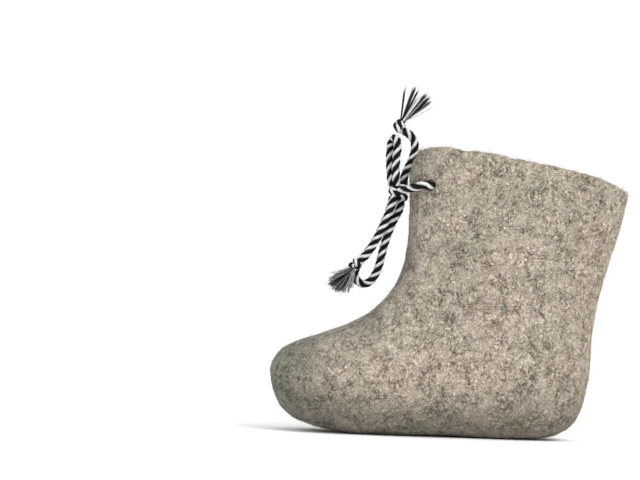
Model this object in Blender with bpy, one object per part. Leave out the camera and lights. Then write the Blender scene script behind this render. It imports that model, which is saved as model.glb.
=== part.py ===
"""Child's valenki boot, felted in one piece, with a loose insole and a twisted cord tied in a bow at the front.

Metres, +Z up. The boot stands on z = 0 with its toe towards -X and its heel towards +X, and Y = 0 is its middle.
The origin is under the middle of the felt boot's own box. The last is straight, so left and right are the same.
"""

import math
from typing import NamedTuple

import bmesh
import bpy
import numpy as np
from mathutils import Matrix, Vector
from mathutils.bvhtree import BVHTree

# Lengths along the foot, measured from the toe tip
FOOT_LENGTH = 0.198
TOE_TO_SHAFT_LENGTH = 0.0822
BACK_LEAN = 0.0197

# Heights above the floor
TOE_TIP_HEIGHT = 0.036
TOE_SPRING = 0.004
ARCH_RISE = 0.0008
INSTEP_HEIGHT = 0.0746
COLLAR_FRONT_HEIGHT = 0.177
COLLAR_BACK_HEIGHT = 0.153
COLLAR_SIDE_RISE = 0.0072

# Full outside widths
BALL_WIDTH = 0.080
HEEL_WIDTH = 0.063
COLLAR_WIDTH = 0.076

# Felt
WALL = 0.0055
SOLE_THICKNESS = 0.0085
SOLE_PRESS = 0.0018
RIM_ROUND = 0.0016
SLIT_DEPTH = 0.038
SLIT_TOP_WIDTH = 0.0105
SLIT_END_WIDTH = 0.0032
INSOLE_THICKNESS = 0.0032
INSOLE_PLAY = 0.0010  # how much smaller the insole is than the hollow, at its edge

# Tie
CORD_DIAMETER = 0.005
EYELET_BORE = 0.0064
EYELET_SETBACK = 0.0115
EYELET_DROP = 0.0232
EYELET_SLANT = math.radians(60)
KNOT_DROP = 0.0274
KNOT_SIZE = Vector((0.013, 0.013, 0.011))
KNOT_NESTLE = 0.0010  # how far the knot sits into the slit
END_KNOT_SIZE = Vector((0.0082, 0.0080, 0.0094))
TASSEL_ROOT_RADIUS = 0.0024
TASSEL_FAN = 0.62  # how far the locks spread, as a share of their place on the root
TASSEL_FLARE = 0.5  # how much wider a lock is at its tip
UPPER_TASSEL_LENGTH = 0.0205
LOWER_TASSEL_LENGTH = 0.0140
CLEARANCE = 0.0003

# Mesh fineness
RINGS = 49
RING_POINTS = 36
CORD_STEP = 0.8 * CORD_DIAMETER

# Colours and finish
FELT_COLOUR = (0.42, 0.37, 0.30, 1.0)
INSOLE_COLOUR = (0.36, 0.33, 0.28, 1.0)
CORD_COLOUR = (0.30, 0.30, 0.30, 1.0)
TASSEL_COLOUR = (0.10, 0.10, 0.10, 1.0)


class FootSection(NamedTuple):
    """One section from the toe to the instep, through a point of the vamp and a point of the sole."""

    vamp_x: float  # share of TOE_TO_SHAFT_LENGTH
    vamp_z: float  # share of the way from TOE_TIP_HEIGHT up to INSTEP_HEIGHT
    sole_x: float  # share of FOOT_LENGTH
    spring: float  # share of TOE_SPRING
    round_up: float  # share of the way from TOE_SPRING up to TOE_TIP_HEIGHT
    ball: float  # share of BALL_WIDTH
    heel: float  # share of HEEL_WIDTH
    flat: float  # share of SOLE_PRESS
    square: float  # squareness of the lower half


class LegSection(NamedTuple):
    """One section from the instep to the collar, through a point of the front and a point of the sole or back."""

    front_x: float  # share of TOE_TO_SHAFT_LENGTH
    front_z: float  # share of the way from INSTEP_HEIGHT up to COLLAR_FRONT_HEIGHT
    back_x: float  # share of FOOT_LENGTH
    lean: float  # share of BACK_LEAN
    arch: float  # share of ARCH_RISE
    back_z: float  # share of COLLAR_BACK_HEIGHT
    ball: float  # share of BALL_WIDTH
    heel: float  # share of HEEL_WIDTH
    collar: float  # share of COLLAR_WIDTH
    flat: float  # share of SOLE_PRESS
    rise: float  # share of COLLAR_SIDE_RISE
    belly: float  # where the section is widest, as a share of the way from the back to the front
    square: float  # squareness of the half towards the sole or back


FOOT_SECTIONS = (
    FootSection(0.018, 0.168, 0.0076, 1.00, 0.781, 0.238, 0.00, 0.0, 2.1),
    FootSection(0.051, 0.285, 0.0200, 1.00, 0.544, 0.425, 0.00, 0.0, 2.2),
    FootSection(0.103, 0.409, 0.0430, 1.00, 0.319, 0.588, 0.00, 0.3, 2.3),
    FootSection(0.207, 0.508, 0.0810, 1.00, 0.125, 0.750, 0.00, 0.6, 2.5),
    FootSection(0.328, 0.596, 0.1360, 1.00, 0.000, 0.875, 0.00, 1.0, 2.6),
    FootSection(0.462, 0.697, 0.2070, 0.35, 0.000, 0.963, 0.00, 1.0, 2.7),
    FootSection(0.572, 0.798, 0.2780, 0.00, 0.000, 0.995, 0.00, 1.0, 2.7),
    FootSection(0.663, 0.876, 0.3480, 0.00, 0.000, 1.000, 0.00, 1.0, 2.7),
    FootSection(0.748, 1.000, 0.4290, 0.00, 0.000, 0.950, 0.04, 1.0, 2.7),
)

LEG_SECTIONS = (
    LegSection(0.821, 0.0625, 0.520, 0.00, 0.6, 0.000, 0.77, 0.240, 0.000, 1.0, 0.00, 0.41, 2.7),
    LegSection(0.882, 0.124, 0.616, 0.00, 1.0, 0.000, 0.52, 0.500, 0.000, 1.0, 0.00, 0.42, 2.7),
    LegSection(0.928, 0.189, 0.712, 0.00, 0.0, 0.000, 0.27, 0.760, 0.000, 1.0, 0.00, 0.43, 2.6),
    LegSection(0.959, 0.253, 0.812, 0.00, 0.0, 0.000, 0.08, 0.965, 0.000, 1.0, 0.00, 0.44, 2.6),
    LegSection(0.978, 0.316, 0.903, 0.00, 0.0, 0.022, 0.00, 1.030, 0.000, 0.4, 0.00, 0.45, 2.6),
    LegSection(0.990, 0.380, 0.965, 0.00, 0.0, 0.084, 0.00, 1.015, 0.000, 0.0, 0.00, 0.46, 2.6),
    LegSection(0.998, 0.443, 0.991, 0.00, 0.0, 0.196, 0.00, 0.950, 0.055, 0.0, 0.00, 0.47, 2.6),
    LegSection(1.000, 0.507, 1.000, 0.00, 0.0, 0.307, 0.00, 0.800, 0.190, 0.0, 0.00, 0.48, 2.5),
    LegSection(0.999, 0.565, 1.000, 0.01, 0.0, 0.418, 0.00, 0.600, 0.370, 0.0, 0.05, 0.49, 2.4),
    LegSection(0.996, 0.624, 1.000, 0.08, 0.0, 0.513, 0.00, 0.400, 0.565, 0.0, 0.15, 0.50, 2.3),
    LegSection(0.993, 0.683, 1.000, 0.23, 0.0, 0.601, 0.00, 0.200, 0.755, 0.0, 0.30, 0.50, 2.2),
    LegSection(0.988, 0.741, 1.000, 0.41, 0.0, 0.686, 0.00, 0.050, 0.905, 0.0, 0.45, 0.50, 2.2),
    LegSection(0.983, 0.800, 1.000, 0.59, 0.0, 0.768, 0.00, 0.000, 0.968, 0.0, 0.60, 0.50, 2.2),
    LegSection(0.983, 0.858, 1.000, 0.75, 0.0, 0.850, 0.00, 0.000, 0.984, 0.0, 0.75, 0.50, 2.2),
    LegSection(1.004, 0.922, 1.000, 0.90, 0.0, 0.928, 0.00, 0.000, 0.995, 0.0, 0.90, 0.50, 2.2),
    LegSection(1.058, 1.000, 1.000, 1.00, 0.0, 1.000, 0.00, 0.000, 1.000, 0.0, 1.00, 0.50, 2.2),
)

BELLY_FOOT = 0.40  # where a foot section is widest, as a share of the way from the sole to the vamp
SIDE_RISE_POWER = 1.5  # how softly the collar's edge rises from its front and back to its sides
CROWN_SQUARE = 2.1  # squareness of the upper half of every section

# Routes of the cord by hand, in millimetres from the middle of the bow's knot. The camera side is -Y.
UPPER_LOOP_ROUTE = (
    (-1.5, -3.4, 5.5), (-2.3, -4.4, 11.0), (-2.4, -4.8, 17.5), (-2.0, -4.7, 23.5), (-1.8, -4.4, 27.8),
    (-2.3, -3.0, 31.2), (-3.7, 0.1, 32.8), (-5.2, 3.1, 31.2), (-6.0, 4.5, 27.8), (-6.2, 4.6, 23.0),
    (-6.0, 4.3, 17.5), (-5.4, 3.5, 11.0), (-4.4, 2.6, 4.9),
)
UPPER_END_ROUTE = (
    (3.0, 1.3, 5.3), (3.2, 1.1, 9.3), (4.6, 0.8, 13.6), (6.7, 0.5, 18.0), (8.3, 0.2, 23.0), (8.9, 0.0, 27.8),
    (8.1, -0.1, 32.0), (5.6, -0.3, 35.1), (2.3, -0.4, 37.0),
)
LOWER_LOOP_ROUTE = (
    (1.7, 2.5, -6.2), (0.8, 1.4, -11.5), (-2.6, 0.2, -18.5), (-5.1, 0.0, -25.0), (-7.3, 0.2, -32.5),
    (-8.8, 0.8, -39.0), (-10.0, 1.6, -45.0), (-11.6, 2.3, -50.2), (-14.3, 2.9, -55.0), (-18.3, 3.4, -57.8),
    (-22.2, 3.6, -57.0), (-24.6, 3.7, -53.6), (-24.6, 3.8, -49.0), (-22.4, 3.8, -44.4), (-18.9, 3.8, -39.8),
    (-15.0, 3.8, -34.2), (-11.4, 3.8, -27.5), (-8.2, 3.7, -20.0), (-5.5, 3.4, -13.0), (-3.7, 2.8, -5.1),
)
LOWER_END_ROUTE = (
    (-2.7, -3.1, -5.1), (-4.8, -3.8, -11.5), (-7.3, -4.0, -18.5), (-10.3, -4.0, -25.5), (-14.1, -4.0, -33.0),
    (-18.0, -4.0, -39.3), (-21.5, -4.1, -43.0),
)
UPPER_END_KNOT = (-1.3, -0.4, 40.3)
LOWER_END_KNOT = (-24.9, -4.2, -46.4)
UPPER_TASSEL_LEAN = math.radians(32)
LOWER_TASSEL_LEAN = math.radians(216)

MILLIMETRE = 0.001


class Ring(NamedTuple):
    """The real sizes of one section of the boot, in metres."""

    front_x: float
    front_z: float
    back_x: float
    back_z: float
    half_width: float
    press: float
    belly: float
    lower_square: float
    upper_square: float
    rise: float


def foot_ring(section: FootSection) -> Ring:
    """Works out the real sizes of a section of the foot."""
    return Ring(
        front_x=section.vamp_x * TOE_TO_SHAFT_LENGTH,
        front_z=TOE_TIP_HEIGHT + section.vamp_z * (INSTEP_HEIGHT - TOE_TIP_HEIGHT),
        back_x=section.sole_x * FOOT_LENGTH,
        back_z=section.spring * TOE_SPRING + section.round_up * (TOE_TIP_HEIGHT - TOE_SPRING),
        half_width=(section.ball * BALL_WIDTH + section.heel * HEEL_WIDTH) / 2,
        press=section.flat * SOLE_PRESS,
        belly=BELLY_FOOT,
        lower_square=section.square,
        upper_square=CROWN_SQUARE,
        rise=0.0,
    )


def leg_ring(section: LegSection) -> Ring:
    """Works out the real sizes of a section of the heel, ankle or shaft."""
    width = section.ball * BALL_WIDTH + section.heel * HEEL_WIDTH + section.collar * COLLAR_WIDTH
    return Ring(
        front_x=section.front_x * TOE_TO_SHAFT_LENGTH,
        front_z=INSTEP_HEIGHT + section.front_z * (COLLAR_FRONT_HEIGHT - INSTEP_HEIGHT),
        back_x=section.back_x * FOOT_LENGTH + section.lean * BACK_LEAN,
        back_z=section.arch * ARCH_RISE + section.back_z * COLLAR_BACK_HEIGHT,
        half_width=width / 2,
        press=section.flat * SOLE_PRESS,
        belly=section.belly,
        lower_square=section.square,
        upper_square=CROWN_SQUARE,
        rise=section.rise * COLLAR_SIDE_RISE,
    )


def smooth_through(points: np.ndarray, count: int) -> np.ndarray:
    """Reads count rows, evenly by row number, from a Catmull-Rom curve through the given rows."""
    padded = np.vstack((2 * points[0] - points[1], points, 2 * points[-1] - points[-2]))
    places = np.linspace(0, len(points) - 1, count)
    rows = []
    for place in places:
        start = min(int(place), len(points) - 2)
        t = place - start
        before, left, right, after = padded[start : start + 4]
        rows.append(
            0.5 * (2 * left + (right - before) * t + (2 * before - 5 * left + 4 * right - after) * t**2
                   + (3 * left - before - 3 * right + after) * t**3)
        )
    return np.array(rows)


def evenly_spaced(points: np.ndarray, count: int) -> np.ndarray:
    """Reads count points along a polyline at equal spacing, both ends kept."""
    steps = np.linalg.norm(np.diff(points, axis=0), axis=1)
    along = np.concatenate(([0.0], np.cumsum(steps)))
    wanted = np.linspace(0, along[-1], count)
    return np.column_stack([np.interp(wanted, along, points[:, axis]) for axis in range(points.shape[1])])


def section_outline(ring: Ring) -> np.ndarray:
    """Points of one closed section, from the sole or back round by +Y to the front and home by -Y."""
    front = np.array((ring.front_x, 0.0, ring.front_z))
    back = np.array((ring.back_x, 0.0, ring.back_z - ring.press))
    chord = front - back
    length = np.linalg.norm(chord)
    chord = chord / length
    across = np.array((0.0, 1.0, 0.0))
    upward = np.cross(across, chord)
    upward = upward if upward[2] > 0 else -upward
    angles = np.linspace(-math.pi / 2, math.pi / 2, 160)
    half = []
    for angle in angles:
        square = ring.upper_square if angle > 0 else ring.lower_square
        reach = (1 - ring.belly) if angle > 0 else ring.belly
        height = (ring.belly + math.copysign(abs(math.sin(angle)) ** (2 / square) * reach, angle)) * length
        width = ring.half_width * max(math.cos(angle), 0.0) ** (2 / square)
        lift = ring.rise * max(math.cos(angle), 0.0) ** SIDE_RISE_POWER
        half.append(back + chord * height + across * width + upward * lift)
    half = np.array(half)
    half[:, 2] = np.maximum(half[:, 2], max(ring.back_z, 0.0))
    half = evenly_spaced(half, RING_POINTS // 2 + 1)
    other = half[-2:0:-1] * np.array((1.0, -1.0, 1.0))
    return np.vstack((half, other))


def outer_surface() -> tuple[np.ndarray, np.ndarray]:
    """The toe tip and all sections of the boot's outside, centred along X."""
    rings = [foot_ring(section) for section in FOOT_SECTIONS] + [leg_ring(section) for section in LEG_SECTIONS]
    rows = smooth_through(np.array(rings), RINGS)
    sections = np.array([section_outline(Ring(*row)) for row in rows])
    tip = np.array((0.0, 0.0, TOE_TIP_HEIGHT))
    middle = (sections[:, :, 0].max() + tip[0]) / 2
    sections[:, :, 0] -= middle
    tip[0] -= middle
    return tip, sections


def outward_normals(tip: np.ndarray, sections: np.ndarray) -> np.ndarray:
    """Unit normals of a surface of sections, pointing out of the boot."""
    tips = np.broadcast_to(tip, sections[:1].shape)
    extended = np.concatenate((tips, sections, 2 * sections[-1:] - sections[-2:-1]))
    along = extended[2:] - extended[:-2]
    around = np.roll(sections, -1, axis=1) - np.roll(sections, 1, axis=1)
    normals = np.cross(along, around)
    normals /= np.linalg.norm(normals, axis=2, keepdims=True)
    middles = sections.mean(axis=1, keepdims=True)
    outward = np.sum(normals * (sections - middles), axis=(1, 2))
    return normals * np.sign(outward)[:, None, None]


def moved_inward(tip: np.ndarray, sections: np.ndarray, wall: float, sole: float) -> tuple[np.ndarray, np.ndarray]:
    """The surface a wall's thickness further in, and a sole's thickness where it faces the floor."""
    normals = outward_normals(tip, sections)
    facing_floor = np.clip((-normals[:, :, 2] - 0.35) / 0.5, 0.0, 1.0)
    facing_floor = facing_floor**2 * (3 - 2 * facing_floor)
    near_floor = np.clip(1 - sections[:, :, 2] / (0.5 * TOE_TIP_HEIGHT), 0.0, 1.0)
    thickness = wall + (sole - wall) * facing_floor * np.clip(2 * near_floor, 0.0, 1.0)
    return tip + np.array((wall, 0.0, 0.0)), sections - normals * thickness[:, :, None]


def add_faces_between(bm: bmesh.types.BMesh, first: list, second: list) -> None:
    """Joins two closed rows of vertices with pairs of triangles, which mirror each other across Y = 0."""
    count = len(first)
    for index in range(count):
        following = (index + 1) % count
        corners = (first[index], first[following], second[following], second[index])
        if index >= count // 2:
            corners = corners[1:] + corners[:1]
        bm.faces.new((corners[0], corners[1], corners[2]))
        bm.faces.new((corners[0], corners[2], corners[3]))


def add_rows(bm: bmesh.types.BMesh, sections: np.ndarray) -> list:
    """Adds the vertices of each section and returns them row by row."""
    return [[bm.verts.new(point) for point in section] for section in sections]


def close_with_fan(bm: bmesh.types.BMesh, centre: np.ndarray, row: list) -> None:
    """Closes a row of vertices with triangles round one point."""
    middle = bm.verts.new(centre)
    for index in range(len(row)):
        bm.faces.new((row[index], row[(index + 1) % len(row)], middle))


def object_from_bmesh(bm: bmesh.types.BMesh, name: str, collection: bpy.types.Collection) -> bpy.types.Object:
    """Makes an object of a closed bmesh whose faces are first turned to point out."""
    bmesh.ops.recalc_face_normals(bm, faces=bm.faces[:])
    if bm.calc_volume(signed=True) < 0:
        bmesh.ops.reverse_faces(bm, faces=bm.faces[:])
    mesh = bpy.data.meshes.new(name)
    bm.to_mesh(mesh)
    bm.free()
    made = bpy.data.objects.new(name, mesh)
    collection.objects.link(made)
    return made


def make_material(name: str, colour: tuple, roughness: float) -> bpy.types.Material:
    """A Principled material with one colour."""
    material = bpy.data.materials.new(name)
    material.use_nodes = True
    shader = material.node_tree.nodes["Principled BSDF"]
    shader.inputs["Base Color"].default_value = colour
    shader.inputs["Roughness"].default_value = roughness
    shader.inputs["Metallic"].default_value = 0.0
    return material


def cut_with(target: bpy.types.Object, cutter: bpy.types.Object, operation: str = "DIFFERENCE") -> None:
    """Adds an exact Boolean and hides its cutter."""
    modifier = target.modifiers.new(cutter.name, "BOOLEAN")
    modifier.operation = operation
    modifier.solver = "EXACT"
    modifier.object = cutter
    cutter.hide_render = True
    cutter.display_type = "WIRE"


def make_cylinder(name: str, start: Vector, end: Vector, radius: float, collection) -> bpy.types.Object:
    """A closed cylinder from one point to another."""
    axis = end - start
    turn = axis.to_track_quat("Z", "Y").to_matrix().to_4x4()
    bm = bmesh.new()
    bmesh.ops.create_cone(
        bm, cap_ends=True, segments=16, radius1=radius, radius2=radius, depth=axis.length,
        matrix=Matrix.Translation((start + end) / 2) @ turn,
    )
    return object_from_bmesh(bm, name, collection)


def make_felt_body(tip, sections, parts) -> bpy.types.Object:
    """The hollow felted boot: outside, rounded rim and inside as one closed wall."""
    sections = sections.copy()
    upward = sections[-1] - sections[-2]
    upward /= np.linalg.norm(upward, axis=1, keepdims=True)
    sections[-1] -= upward * RIM_ROUND
    inner_tip, inner = moved_inward(tip, sections, WALL, SOLE_THICKNESS)
    middle = (sections[-1] + inner[-1]) / 2
    half = (sections[-1] - inner[-1]) / 2
    rim = [
        middle + half * math.cos(angle) + upward * RIM_ROUND * math.sin(angle)
        for angle in (math.radians(35), math.radians(90), math.radians(145))
    ]
    bm = bmesh.new()
    outer_rows = add_rows(bm, sections)
    rim_rows = add_rows(bm, np.array(rim))
    inner_rows = add_rows(bm, inner)
    rows = outer_rows + rim_rows + inner_rows[::-1]
    for first, second in zip(rows, rows[1:]):
        add_faces_between(bm, first, second)
    close_with_fan(bm, tip, outer_rows[0])
    close_with_fan(bm, inner_tip, inner_rows[0])
    body = object_from_bmesh(bm, "felt_body", parts)
    body.data.materials.append(make_material("melange felt", FELT_COLOUR, 0.95))
    return body


def make_insole(tip, sections, parts) -> bpy.types.Object:
    """The loose insole: the lowest layer of the boot's hollow, a little smaller all round."""
    last_tip, last = moved_inward(tip, sections, WALL + INSOLE_PLAY, SOLE_THICKNESS + CLEARANCE)
    bm = bmesh.new()
    rows = add_rows(bm, last)
    for first, second in zip(rows, rows[1:]):
        add_faces_between(bm, first, second)
    close_with_fan(bm, last_tip, rows[0])
    close_with_fan(bm, last[-1].mean(axis=0), rows[-1])
    top = SOLE_THICKNESS + CLEARANCE + INSOLE_THICKNESS
    geometry = bm.verts[:] + bm.edges[:] + bm.faces[:]
    bmesh.ops.bisect_plane(bm, geom=geometry, plane_co=(0, 0, top), plane_no=(0, 0, 1), clear_outer=True)
    bmesh.ops.holes_fill(bm, edges=[edge for edge in bm.edges if edge.is_boundary])
    insole = object_from_bmesh(bm, "insole", parts)
    insole.data.materials.append(make_material("insole felt", INSOLE_COLOUR, 0.95))
    return insole


def make_slit_cutters(front_x: float, cutters) -> list:
    """A wedge open at the collar and the round end at its foot, both cut through the front wall alone."""
    foot = COLLAR_FRONT_HEIGHT - SLIT_DEPTH + SLIT_END_WIDTH / 2
    above = COLLAR_FRONT_HEIGHT + COLLAR_SIDE_RISE
    outside = front_x - 2 * WALL
    inside = front_x + 4 * WALL
    spread = (SLIT_TOP_WIDTH - SLIT_END_WIDTH) / (COLLAR_FRONT_HEIGHT - foot)
    bm = bmesh.new()
    bmesh.ops.create_cube(bm, size=1.0)
    for vertex in bm.verts:
        high = vertex.co.z > 0
        width = SLIT_END_WIDTH + (spread * (above - foot) if high else 0.0)
        vertex.co.x = inside if vertex.co.x > 0 else outside
        vertex.co.y = math.copysign(width / 2, vertex.co.y)
        vertex.co.z = above if high else foot
    wedge = object_from_bmesh(bm, "slit_wedge", cutters)
    start = Vector((outside, 0, foot))
    end = Vector((inside, 0, foot))
    return [wedge, make_cylinder("slit_end", start, end, SLIT_END_WIDTH / 2 * 1.02, cutters)]


class Eyelet(NamedTuple):
    """One punched hole: its mouth on the outside and the way of the cord into the boot."""

    mouth: Vector
    outward: Vector
    inward_way: Vector


def find_eyelet(surface: BVHTree, front_x: float) -> Eyelet:
    """Places the camera-side eyelet on the outer surface. The other one is its mirror image."""
    eye = Vector((front_x + EYELET_SETBACK, -COLLAR_WIDTH, COLLAR_FRONT_HEIGHT - EYELET_DROP))
    mouth, normal, _, _ = surface.ray_cast(eye, Vector((0, 1, 0)))
    outward = Vector((normal.x, normal.y, 0)).normalized()
    outward = outward if outward.y < 0 else -outward
    backward = Vector((-outward.y, outward.x, 0))
    way = backward * math.cos(EYELET_SLANT) - outward * math.sin(EYELET_SLANT)
    return Eyelet(mouth, outward, way)


def mirrored(point: Vector) -> Vector:
    """The point's mirror image on the far side."""
    return Vector((point.x, -point.y, point.z))


def make_eyelet_cutters(eyelet: Eyelet, cutters) -> list:
    """A slanted cylinder through the wall on each side."""
    start = eyelet.mouth - eyelet.inward_way * 1.5 * WALL
    end = eyelet.mouth + eyelet.inward_way * 2.6 * WALL
    return [
        make_cylinder("eyelet_near", start, end, EYELET_BORE / 2, cutters),
        make_cylinder("eyelet_far", mirrored(start), mirrored(end), EYELET_BORE / 2, cutters),
    ]


def make_cord(name: str, route: list, parts, material) -> bpy.types.Object:
    """A round cord through the route's points, as a curve with filled caps."""
    rough = smooth_through(np.array([tuple(point) for point in route]), 20 * len(route))
    length = np.linalg.norm(np.diff(rough, axis=0), axis=1).sum()
    points = evenly_spaced(rough, max(4, round(length / CORD_STEP) + 1))
    curve = bpy.data.curves.new(name, "CURVE")
    curve.dimensions = "3D"
    curve.bevel_depth = CORD_DIAMETER / 2
    curve.bevel_resolution = 2
    curve.use_fill_caps = True
    spline = curve.splines.new("POLY")
    spline.points.add(len(points) - 1)
    for point, place in zip(spline.points, points):
        point.co = (*place, 1.0)
    curve.materials.append(material)
    cord = bpy.data.objects.new(name, curve)
    parts.objects.link(cord)
    return cord


def from_knot(knot: Vector, offsets: tuple) -> list:
    """Turns millimetres from the knot into places."""
    return [knot + Vector(offset) * MILLIMETRE for offset in offsets]


def lace_bar_route(surface: BVHTree, eyelet: Eyelet, knot: Vector) -> list:
    """From the knot over the felt, in at one eyelet, across behind the slit and out at the other eyelet."""
    lift = CORD_DIAMETER / 2 + CLEARANCE
    way = eyelet.inward_way
    leave_knot = knot + Vector((0.16 * KNOT_SIZE.x, -0.51 * KNOT_SIZE.y, 0.05 * KNOT_SIZE.z))
    over_felt = []
    for share in (0.42, 0.72):
        guess = leave_knot.lerp(eyelet.mouth, share)
        place, normal, _, _ = surface.find_nearest(guess)
        over_felt.append(place + normal * (lift + 0.1 * CORD_DIAMETER))
    tunnel = WALL / math.sin(EYELET_SLANT)
    outside = eyelet.mouth - way * 0.70 * CORD_DIAMETER
    inside = eyelet.mouth + way * (tunnel + 0.4 * CORD_DIAMETER)
    in_tunnel = [eyelet.mouth + way * tunnel * share for share in (0.0, 0.5, 1.0)]
    crossing_x = inside.x + 0.7 * CORD_DIAMETER
    crossing = Vector((crossing_x, 0.55 * inside.y, inside.z))
    near = [leave_knot, *over_felt, outside, *in_tunnel, inside, crossing]
    middle = Vector((crossing_x + 0.1 * CORD_DIAMETER, 0, inside.z))
    return near + [middle] + [mirrored(point) for point in reversed(near)]


def make_ball(name: str, centre: Vector, size: Vector, parts, material) -> bpy.types.Object:
    """A plain rounded solid that stands for a knot."""
    bm = bmesh.new()
    matrix = Matrix.Translation(centre) @ Matrix.Diagonal((*(size / 2), 1.0))
    bmesh.ops.create_uvsphere(bm, u_segments=12, v_segments=8, radius=1.0, matrix=matrix)
    ball = object_from_bmesh(bm, name, parts)
    ball.data.materials.append(material)
    return ball


def make_tassel(name: str, knot: Vector, lean: float, length: float, parts, material) -> bpy.types.Object:
    """A tuft of locks that fan out of one root beside an end knot, all one solid."""
    bm = bmesh.new()
    bmesh.ops.create_icosphere(bm, subdivisions=2, radius=TASSEL_ROOT_RADIUS)
    locks = [face for face in bm.faces if face.normal.z > 0.5]
    bmesh.ops.inset_individual(bm, faces=locks, thickness=0.08 * TASSEL_ROOT_RADIUS, use_even_offset=True)
    ends = bmesh.ops.extrude_discrete_faces(bm, faces=locks)["faces"]
    for number, face in enumerate(ends):
        root = face.calc_center_median()
        way = Vector((root.x * TASSEL_FAN, root.y * TASSEL_FAN * 0.5, TASSEL_ROOT_RADIUS)).normalized()
        reach = (length - TASSEL_ROOT_RADIUS) * (1.0 - 0.07 * (number % 3))
        for vertex in face.verts:
            vertex.co += way * reach + (vertex.co - root) * TASSEL_FLARE
    turn = Matrix.Rotation(lean, 4, "Y")
    root_height = END_KNOT_SIZE.z / 2 + 0.9 * TASSEL_ROOT_RADIUS + CLEARANCE
    bm.transform(Matrix.Translation(knot) @ turn @ Matrix.Translation((0, 0, root_height)))
    tuft = object_from_bmesh(bm, name, parts)
    tuft.data.materials.append(material)
    return tuft


def surface_tree(tip: np.ndarray, sections: np.ndarray) -> BVHTree:
    """The boot's outside as a tree to look up places on it."""
    bm = bmesh.new()
    rows = add_rows(bm, sections)
    for first, second in zip(rows, rows[1:]):
        add_faces_between(bm, first, second)
    close_with_fan(bm, tip, rows[0])
    bmesh.ops.recalc_face_normals(bm, faces=bm.faces[:])
    tree = BVHTree.FromBMesh(bm)
    bm.free()
    return tree


def new_collection(name: str) -> bpy.types.Collection:
    """A collection linked to the scene."""
    collection = bpy.data.collections.new(name)
    bpy.context.scene.collection.children.link(collection)
    return collection


def main() -> None:
    """Builds the boot, its insole and its tie."""
    for old in list(bpy.data.objects):
        bpy.data.objects.remove(old, do_unlink=True)
    parts = new_collection("valenki_boot")
    cutters = new_collection("cutters")

    tip, sections = outer_surface()
    surface = surface_tree(tip, sections)
    knot_height = COLLAR_FRONT_HEIGHT - KNOT_DROP
    front, _, _, _ = surface.ray_cast(Vector((tip[0], 0, knot_height)), Vector((1, 0, 0)))
    eyelet = find_eyelet(surface, front.x)
    knot = Vector((front.x + KNOT_NESTLE - CLEARANCE - KNOT_SIZE.x / 2, 0, knot_height))

    body = make_felt_body(tip, sections, parts)
    for cutter in make_slit_cutters(front.x, cutters) + make_eyelet_cutters(eyelet, cutters):
        cut_with(body, cutter)
    make_insole(tip, sections, parts)

    cord = make_material("twisted cord", CORD_COLOUR, 0.7)
    tuft = make_material("cord threads", TASSEL_COLOUR, 0.8)
    make_cord("lace_bar", lace_bar_route(surface, eyelet, knot), parts, cord)
    make_ball("bow_knot", knot, KNOT_SIZE, parts, cord)
    for name, route in (
        ("loop_upper", UPPER_LOOP_ROUTE), ("end_upper", UPPER_END_ROUTE),
        ("loop_lower", LOWER_LOOP_ROUTE), ("end_lower", LOWER_END_ROUTE),
    ):
        make_cord(name, from_knot(knot, route), parts, cord)
    for name, place, lean, length in (
        ("upper", UPPER_END_KNOT, UPPER_TASSEL_LEAN, UPPER_TASSEL_LENGTH),
        ("lower", LOWER_END_KNOT, LOWER_TASSEL_LEAN, LOWER_TASSEL_LENGTH),
    ):
        end_knot = knot + Vector(place) * MILLIMETRE
        make_ball(f"end_knot_{name}", end_knot, END_KNOT_SIZE, parts, cord)
        make_tassel(f"tassel_{name}", end_knot, lean, length, parts, tuft)


main()
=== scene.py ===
"""Child's felted valenki boot with its tie cord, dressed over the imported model.

The felt boot, the loose insole and every stretch of the cord stand for the plain solids of the same place.
Lengths are in metres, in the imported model's frame: +Z is up, the toe points to -X and the photograph was
taken from -Y.
"""

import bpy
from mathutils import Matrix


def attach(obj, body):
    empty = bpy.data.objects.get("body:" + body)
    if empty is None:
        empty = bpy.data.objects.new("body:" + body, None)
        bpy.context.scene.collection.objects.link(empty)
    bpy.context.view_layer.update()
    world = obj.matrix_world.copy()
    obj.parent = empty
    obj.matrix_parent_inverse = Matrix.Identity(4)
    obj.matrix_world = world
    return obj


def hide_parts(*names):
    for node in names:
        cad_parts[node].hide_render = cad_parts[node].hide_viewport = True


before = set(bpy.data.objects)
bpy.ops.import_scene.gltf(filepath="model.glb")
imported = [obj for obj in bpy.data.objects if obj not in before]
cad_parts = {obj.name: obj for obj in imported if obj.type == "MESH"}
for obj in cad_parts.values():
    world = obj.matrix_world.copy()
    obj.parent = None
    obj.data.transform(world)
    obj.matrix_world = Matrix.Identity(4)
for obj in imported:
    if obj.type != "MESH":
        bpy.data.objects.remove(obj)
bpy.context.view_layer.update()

import logging
import math
from contextlib import contextmanager
from dataclasses import dataclass, field
from enum import Enum
from typing import Callable, Iterator, Sequence

import bpy
import numpy as np
from mathutils import Matrix, Vector, noise

Colour = tuple[float, float, float]
Point = tuple[float, float, float]
Stretch = tuple[float, float]

log = logging.getLogger("valenki")

MM = 0.001
KNOT = Vector((-0.03337, 0.0, 0.1496))
FADING: Stretch = (1.0, 0.0)


class Side(Enum):
    """The upper or the lower half of the bow, as the photograph shows it."""

    UPPER = "upper"
    LOWER = "lower"


# Working with meshes


def pick_only(piece: bpy.types.Object) -> None:
    """Selects one object alone and makes it the active one.

    Args:
        piece: The object to work on.
    """
    bpy.ops.object.select_all(action="DESELECT")
    piece.select_set(True)
    bpy.context.view_layer.objects.active = piece


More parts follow.
